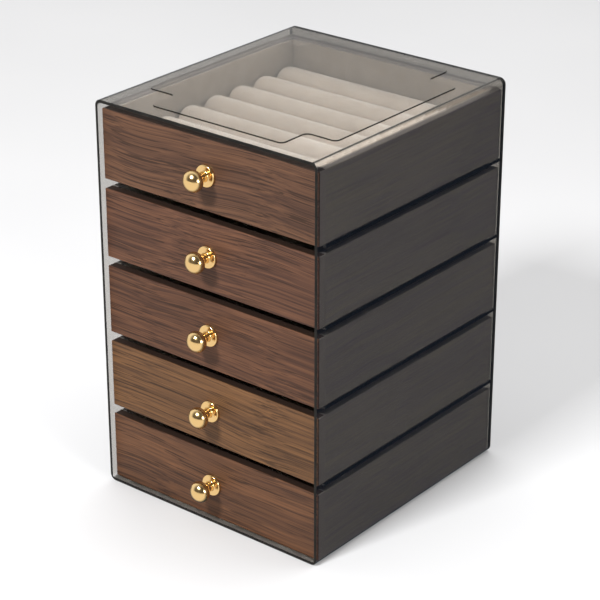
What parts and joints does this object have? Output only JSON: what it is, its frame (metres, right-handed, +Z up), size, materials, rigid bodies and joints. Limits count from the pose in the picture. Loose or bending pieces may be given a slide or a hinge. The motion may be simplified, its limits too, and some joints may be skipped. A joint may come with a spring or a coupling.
{
  "type": "jewelry organizer box",
  "caption": "Smoke-clear tabletop cabinet with walnut-faced pull-out drawers, turned brass ball knobs, velvet lining and ring rolls, for keeping jewellery.",
  "frame": {"origin": "middle of the cabinet's underside, on the surface that it stands on", "axes": "+Z up, drawers open towards -Y, +X to the right of someone facing the drawers"},
  "size_m": [0.16, 0.1871, 0.2453],
  "materials": {
    "smoke_plastic": "clear smoke-tinted, polished",
    "walnut": "matt walnut grain",
    "roll_velvet": "short-pile velvet",
    "lining_velvet": "flocked velvet",
    "polished_brass": "polished",
    "plated_steel": "zinc plated"
  },
  "bodies": {
    "cabinet": {"cabinet_shell": "smoke_plastic", "back_panel": "smoke_plastic", "shelf_1": "smoke_plastic", "shelf_2": "smoke_plastic", "shelf_3": "smoke_plastic", "shelf_4": "smoke_plastic"},
    "drawer_1": {"drawer_1_front": "walnut", "drawer_1_left_side": "walnut", "drawer_1_right_side": "walnut", "drawer_1_back": "walnut", "drawer_1_base": "walnut", "drawer_1_lining": "lining_velvet", "drawer_1_knob": "polished_brass", "drawer_1_screw": "plated_steel", "ring_roll_1": "roll_velvet", "ring_roll_2": "roll_velvet", "ring_roll_3": "roll_velvet", "ring_roll_4": "roll_velvet", "ring_roll_5": "roll_velvet", "ring_roll_6": "roll_velvet", "ring_roll_7": "roll_velvet"},
    "drawer_2": {"drawer_2_front": "walnut", "drawer_2_left_side": "walnut", "drawer_2_right_side": "walnut", "drawer_2_back": "walnut", "drawer_2_base": "walnut", "drawer_2_lining": "lining_velvet", "drawer_2_knob": "polished_brass", "drawer_2_screw": "plated_steel"},
    "drawer_3": {"drawer_3_front": "walnut", "drawer_3_left_side": "walnut", "drawer_3_right_side": "walnut", "drawer_3_back": "walnut", "drawer_3_base": "walnut", "drawer_3_lining": "lining_velvet", "drawer_3_knob": "polished_brass", "drawer_3_screw": "plated_steel"},
    "drawer_4": {"drawer_4_front": "walnut", "drawer_4_left_side": "walnut", "drawer_4_right_side": "walnut", "drawer_4_back": "walnut", "drawer_4_base": "walnut", "drawer_4_lining": "lining_velvet", "drawer_4_knob": "polished_brass", "drawer_4_screw": "plated_steel"},
    "drawer_5": {"drawer_5_front": "walnut", "drawer_5_left_side": "walnut", "drawer_5_right_side": "walnut", "drawer_5_back": "walnut", "drawer_5_base": "walnut", "drawer_5_lining": "lining_velvet", "drawer_5_knob": "polished_brass", "drawer_5_screw": "plated_steel"}
  },
  "joints": [
    {"name": "drawer_1_slide", "type": "slide", "parent": "cabinet", "child": "drawer_1", "axis": [0, -1, 0], "range_m": [0, 0.125]},
    {"name": "drawer_2_slide", "type": "slide", "parent": "cabinet", "child": "drawer_2", "axis": [0, -1, 0], "range_m": [0, 0.125]},
    {"name": "drawer_3_slide", "type": "slide", "parent": "cabinet", "child": "drawer_3", "axis": [0, -1, 0], "range_m": [0, 0.125]},
    {"name": "drawer_4_slide", "type": "slide", "parent": "cabinet", "child": "drawer_4", "axis": [0, -1, 0], "range_m": [0, 0.125]},
    {"name": "drawer_5_slide", "type": "slide", "parent": "cabinet", "child": "drawer_5", "axis": [0, -1, 0], "range_m": [0, 0.125]}
  ]
}
